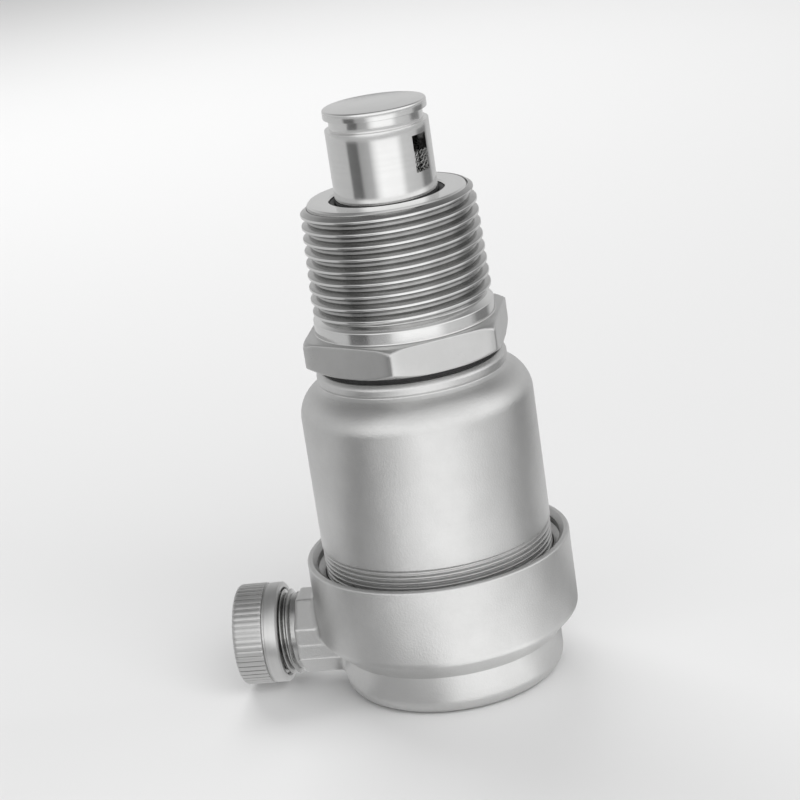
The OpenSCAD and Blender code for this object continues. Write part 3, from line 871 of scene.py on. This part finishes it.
add_grown(fitting, start, THREAD, Turns=9.1, Pitch=2.309 * MM, Core_radius=thread_root(THREAD_FOOT) * MM,
          Taper=TAPER, Ridge_height=THREAD_DEPTH * MM, Root_width=2.12 * MM, Crest_width=.38 * MM,
          Rounding=.12 * MM, Run_out=.45, Steps_per_turn=120.0, Material=THREAD_PAINTED_SHADE)
add_grown(fitting, lifted(50.2), THREAD, Turns=9.0, Pitch=1.5 * MM, Core_radius=13.1 * MM,
          Ridge_height=.88 * MM, Root_width=1.4 * MM, Crest_width=.28 * MM, Rounding=.12 * MM,
          Material=THREAD_PAINTED_SHADE)
inlet_fitting = finish_piece("inlet_fitting", fitting, "inlet_stop", [HEX, TURNED, THREAD_PAINTED_SHADE],
                             ["inlet_stop_body"], sharp=35)
print("taper thread crest starts at", round(thread_root(THREAD_FOOT) + THREAD_DEPTH, 2), "mm")

# %% [markdown]
# One mesh carries three finishes, chosen for each face by where it is. The hexagon is
# satin, and the neck and the mouth are bright. In the thread the crests get the bright
# steel as a painted highlight, and the flanks get a darker copy of the steel as painted shade.

# %% Give each part of the fitting its finish
HEXAGON_TOP, NECK_TOP, MOUTH = 72.15, 75.2, 96.2
SATIN, BRIGHT, SHADED_FLANK = range(3)
for face in inlet_fitting.data.polygons:
    z = face.center.z / MM
    height_in_thread = face.center.xy.length / MM - thread_root(z)
    # Crests take the bright steel as a painted highlight, and the flanks take the darker thread steel as
    # painted shade.
    crest = height_in_thread > .9 and abs(face.normal.z) < .75
    if z < HEXAGON_TOP:
        face.material_index = SATIN
    elif z < NECK_TOP or z > MOUTH or crest:
        face.material_index = BRIGHT
    else:
        face.material_index = SHADED_FLANK
finishes = [face.material_index for face in inlet_fitting.data.polygons]
print("faces of each finish:", [finishes.count(n) for n in (SATIN, BRIGHT, SHADED_FLANK)])

# %% [markdown]
# ## The plunger
# The plunger is the bright tube that stands out of the inlet. Its head is solid, with a
# groove under it, and two windows let the water in. A window needs a wall with real
# thickness, so the tube is made as an outer and an inner grid that share their
# directions, the window's faces are left out, and the two skins are joined round it.

# %% Grid of the plunger, with two open windows
WINDOW_HALF, WINDOW_LOW, WINDOW_HIGH = 1.9, 100.8, 107.6
WINDOW_CELLS, WALL_CELLS = 8, 64
CAP_RADIUS = 3.0  # stands in for a radius of zero, where a window has no angle


def tube_angles(radius):
    """Directions round the tube. Each window takes the same count of them at any radius."""
    angles = []
    for centre in (-30, 150):
        half = math.asin(WINDOW_HALF / radius)
        angles += [math.radians(centre) + half * (2 * k / WINDOW_CELLS - 1) for k in range(WINDOW_CELLS)]
        rest = math.pi - 2 * half
        angles += [math.radians(centre) + half + rest * k / WALL_CELLS for k in range(WALL_CELLS)]
    return angles


plunger = bmesh.new()
outside = rounded([
    (8.7, 66.0, 0), (11.6, 66.0, .15), (11.6, 67.6, .15), (9.6, 67.6, .1), (9.6, WINDOW_LOW, 0),
    (9.6, WINDOW_HIGH, 0), (9.6, 109.5, .07), (8.7, 109.5, .06), (8.7, 111.6, .06), (9.6, 111.6, .10),
    (9.6, 113.3, .38), (0, 113.3, 0)])
inside = [(0, 108.4), (7.7, 108.4), (7.7, WINDOW_HIGH), (7.7, WINDOW_LOW), (7.7, 67.4), (8.7, 67.4)]
line = outside + inside
rings = [ring_at(plunger, r, z, tube_angles(max(r, CAP_RADIUS))) for r, z in line]
cells = len(rings[1])
open_cells = [c for c in range(cells) if c % (cells // 2) < WINDOW_CELLS]
skin(plunger, rings)
outer, inner = [i for i in range(len(line) - 1)
                if {round(line[i][1], 1), round(line[i + 1][1], 1)} == {WINDOW_LOW, WINDOW_HIGH}]
for level in (outer, inner):
    for c in open_cells:
        wanted = {ring[k % cells] for ring in rings[level:level + 2] for k in (c, c + 1)}
        plunger.faces.remove(next(f for f in rings[level][c].link_faces if set(f.verts) == wanted))
for c in open_cells:
    d = (c + 1) % cells
    for o, n in ((outer, inner + 1), (outer + 1, inner)):
        plunger.faces.new([rings[o][c], rings[o][d], rings[n][d], rings[n][c]])
for start in (0, cells // 2):
    for c in (start, start + WINDOW_CELLS):
        plunger.faces.new([rings[outer][c], rings[outer + 1][c], rings[inner][c], rings[inner + 1][c]])
bmesh.ops.recalc_face_normals(plunger, faces=plunger.faces[:])
finish_piece("plunger_turned", plunger, "plunger", [TURNED], ["stop_plunger"], sharp=30)
print("windows are", 2 * WINDOW_HALF, "mm wide")

# %% [markdown]
# ### The screen and the spring
# Behind the windows stands a tube of woven wire that keeps dirt out. It stands in a
# plain rim, which is spun. Under the bore a spring pushes on the plunger's flange. Its
# foot sits on the plunger and its top under the fitting, and in the real valve it gets
# longer as the plunger slides. Here it is one plain mesh, attached to neither.

# %% Weave the screen
SCREEN_LOW, SCREEN_HIGH, WIRES = 67.3, 104.0, 48
step = math.pi * 7.4 / WIRES
crossings = round((SCREEN_HIGH - SCREEN_LOW) / step)
screen = bmesh.new()
spin(screen, [(7.15, 66.1), (8.6, 66.1), (8.6, 67.3), (7.62, 67.3), (7.62, 68.3), (7.15, 68.3)], segments=96)
add_grown(screen, lifted(SCREEN_LOW), SCREEN, Wires_each_way=WIRES, Tube_radius=7.38 * MM,
          Height=(SCREEN_HIGH - SCREEN_LOW) * MM, Crossings=crossings, Wire_radius=.13 * MM,
          Weave_depth=.11 * MM, Material=WIRE)
finish_piece("plunger_mesh_screen", screen, "plunger", [WIRE], ["plunger_screen"], sharp=60)

# %% Wind the spring
FOOT, TOP, COILS = 68.25, 83.35, 7
spring = bmesh.new()
add_grown(spring, lifted(FOOT), SPRING, Turns=float(COILS), Pitch=(TOP - FOOT) / COILS * MM,
          Coil_radius=10.7 * MM, Wire_radius=.6 * MM, Material=TURNED)
stop_spring = finish_piece("stop_spring_wound", spring, None, [TURNED],
                           ["stop_spring"], sharp=60)
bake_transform(stop_spring)

# %% [markdown]
# ## The parts that keep their CAD shape
# The gaskets, the seal ring and the float's linkage are inside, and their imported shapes
# are right. They stay where they are and only get their finishes.

# %% Finish the inner parts
FINISHES = {
    RUBBER: ["cover_gasket", "body_gasket", "nozzle_gasket", "cap_washer", "valve_pad", "bore_seal_ring"],
    PLASTIC: ["float_shell", "float_lid"],
    SHEET: ["lever_bracket", "lever", "lever_pin", "lever_pin_clip", "bracket_screws", "float_stem",
            "float_link_pin", "spring_retaining_ring"],
    BRASS: ["vent_nozzle"],
}
for material, names in FINISHES.items():
    for name in names:
        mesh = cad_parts[name].data
        mesh.materials.clear()
        mesh.materials.append(material)
print("inner parts finished:", sum(len(names) for names in FINISHES.values()))

# %% [markdown]
# ## Floor, light and camera
# Polished metal shows the room more than itself. The floor and the air are pale, and
# two large lamps stand to the front right and behind. A flat ring of boards lies on the
# floor, bright in front and dark in two places. It's seen only in reflections, and
# gives the bright steel its bars.

# %% The floor
floor_mesh = bpy.data.meshes.new("floor")
shape = bmesh.new()
bmesh.ops.create_grid(shape, x_segments=8, y_segments=8, size=3.0)
shape.to_mesh(floor_mesh)
shape.free()
floor = show("floor", floor_mesh)
paper = bpy.data.materials.new("pale_paper")
paper.use_nodes = True
shader = paper.node_tree.nodes["Principled BSDF"]
shader.inputs["Base Color"].default_value = (.70, .70, .70, 1)
shader.inputs["Roughness"].default_value = .9
floor_mesh.materials.append(paper)
print("floor is", floor.dimensions.x, "m wide")

# %% The air, brighter at the horizon and at the front right than overhead
world = bpy.data.worlds.new("studio")
bpy.context.scene.world = world
world.use_nodes = True
air = world.node_tree
way = air.nodes.new("ShaderNodeTexCoord").outputs["Generated"]
rise = put(air, "ShaderNodeSeparateXYZ", {0: way}).outputs["Z"]
sky = ramp(air, rise, .25, .85, .66, .25, smooth=True)
front = put(air, "ShaderNodeVectorMath", {0: way, 1: (.5, -.87, 0)}, operation="DOT_PRODUCT").outputs["Value"]
window = ramp(air, front, -.08, .48, 0, .62, smooth=True)
air.links.new(calc(air, "ADD", sky, window), air.nodes["Background"].inputs["Strength"])
air.nodes["Background"].inputs["Color"].default_value = (1, 1, 1, 1)
bpy.context.scene.view_settings.view_transform = "Standard"
print("air made with", len(air.nodes), "nodes")


# %% The lamps
def lamp(name, place, target, size, power):
    """A soft lamp that looks at a point and isn't seen, either straight or in a reflection."""
    light = bpy.data.lights.new(name, "AREA")
    light.shape, light.size, light.size_y, light.energy = "RECTANGLE", size[0], size[1], power
    holder = show(name, light)
    holder.location = place
    holder.rotation_euler = (Vector(target) - Vector(place)).to_track_quat("-Z", "Y").to_euler()
    holder.visible_camera = holder.visible_glossy = False


MIDDLE = (0, 0, .055)
lamp("key_lamp", (.42, -.60, .60), MIDDLE, (.70, .50), 4.2)
lamp("back_lamp", (-.35, .75, .80), MIDDLE, (.8, .6), 7)

# %% How bright the ring of boards is
CAMERA_WAY, STEPS, BOARD_HEIGHT = -80.0, 180, .0005
# Degrees from the camera's way, and the brightness there.
GLOW = [(-78, .55), (-74, .18), (-52, .14), (-46, .40), (-26, .50), (-14, 1.05), (-4, 1.25), (36, 1.22),
        (50, .72), (86, .62), (98, .24), (122, .24), (134, .62), (200, .66), (282, .58)]
START = GLOW[0][0]
BRIGHTEST = max(tone for _, tone in GLOW)
# Metres from the axis, degrees the table is turned, share of the brightness, and the least.
REACHES = [(.024, 12, .95, .42), (.036, 12, 1.15, .42), (.052, 8, 1.15, .38), (.080, -18, 1.25, .22),
           (.105, -18, 1.25, .22), (.150, 0, 1, 0), (.85, 0, 1, 0)]


def glow_at(angle):
    """The boards' brightness in a direction, read between two rows of the table."""
    angle = (angle - START) % 360 + START
    for (a, low), (b, high) in zip(GLOW, GLOW[1:]):
        if a <= angle <= b:
            return low + (high - low) * (angle - a) / (b - a)
    return GLOW[-1][1]


print("board tones run from", min(tone for _, tone in GLOW), "to", BRIGHTEST)

# %% Lay the boards and let them glow
board_mesh = bpy.data.meshes.new("reflector_ring")
spots, tones, patches = [], [], []
for row, (reach, twist, share, least) in enumerate(REACHES):
    for k in range(STEPS):
        turned = 360 * k / STEPS
        a = math.radians(CAMERA_WAY + turned)
        spots.append((reach * math.cos(a), reach * math.sin(a), BOARD_HEIGHT))
        level = share * glow_at(turned - twist)
        tones += [min(BRIGHTEST, max(least, level))] * 3 + [1.0]
        if row:
            inner, k2 = (row - 1) * STEPS, (k + 1) % STEPS
            patches.append((inner + k, inner + STEPS + k, inner + STEPS + k2, inner + k2))
board_mesh.from_pydata(spots, [], patches)
board_mesh.color_attributes.new("glow", "FLOAT_COLOR", "POINT").data.foreach_set("color", tones)
card = bpy.data.materials.new("reflector_card")
card.use_nodes = True
shader = card.node_tree.nodes["Principled BSDF"]
shader.inputs["Base Color"].default_value = (0, 0, 0, 1)
shader.inputs["Roughness"].default_value = 1.0
shader.inputs["Specular IOR Level"].default_value = 0.0
shader.inputs["Emission Strength"].default_value = 1.0
tone = put(card.node_tree, "ShaderNodeAttribute", attribute_name="glow").outputs["Color"]
card.node_tree.links.new(tone, shader.inputs["Emission Color"])
board_mesh.materials.append(card)
ring = show("reflector_ring", board_mesh)
ring.visible_camera = ring.visible_diffuse = ring.visible_shadow = False
print("the boards have", len(patches), "faces")

# %% The camera
camera = show("camera", bpy.data.cameras.new("camera"))
bpy.context.scene.camera = camera
camera.data.lens, camera.data.sensor_width = 106.8, 36.0
camera.location = (.0743, -.4215, .1906)
PITCH, YAW_LEFT, ROLL = math.radians(-17.4), math.radians(.425), math.radians(8.51)
flat = Vector((-camera.location.x, -camera.location.y, 0)).normalized()
flat.rotate(Matrix.Rotation(YAW_LEFT, 3, "Z"))
forward = flat * math.cos(PITCH) + Vector((0, 0, math.sin(PITCH)))
level = forward.cross(Vector((0, 0, 1))).normalized()
upright = level.cross(forward)
right = level * math.cos(ROLL) - upright * math.sin(ROLL)
up = level * math.sin(ROLL) + upright * math.cos(ROLL)
camera.rotation_euler = Matrix((right, up, -forward)).transposed().to_euler()
print("camera looks along", [round(v, 3) for v in forward])
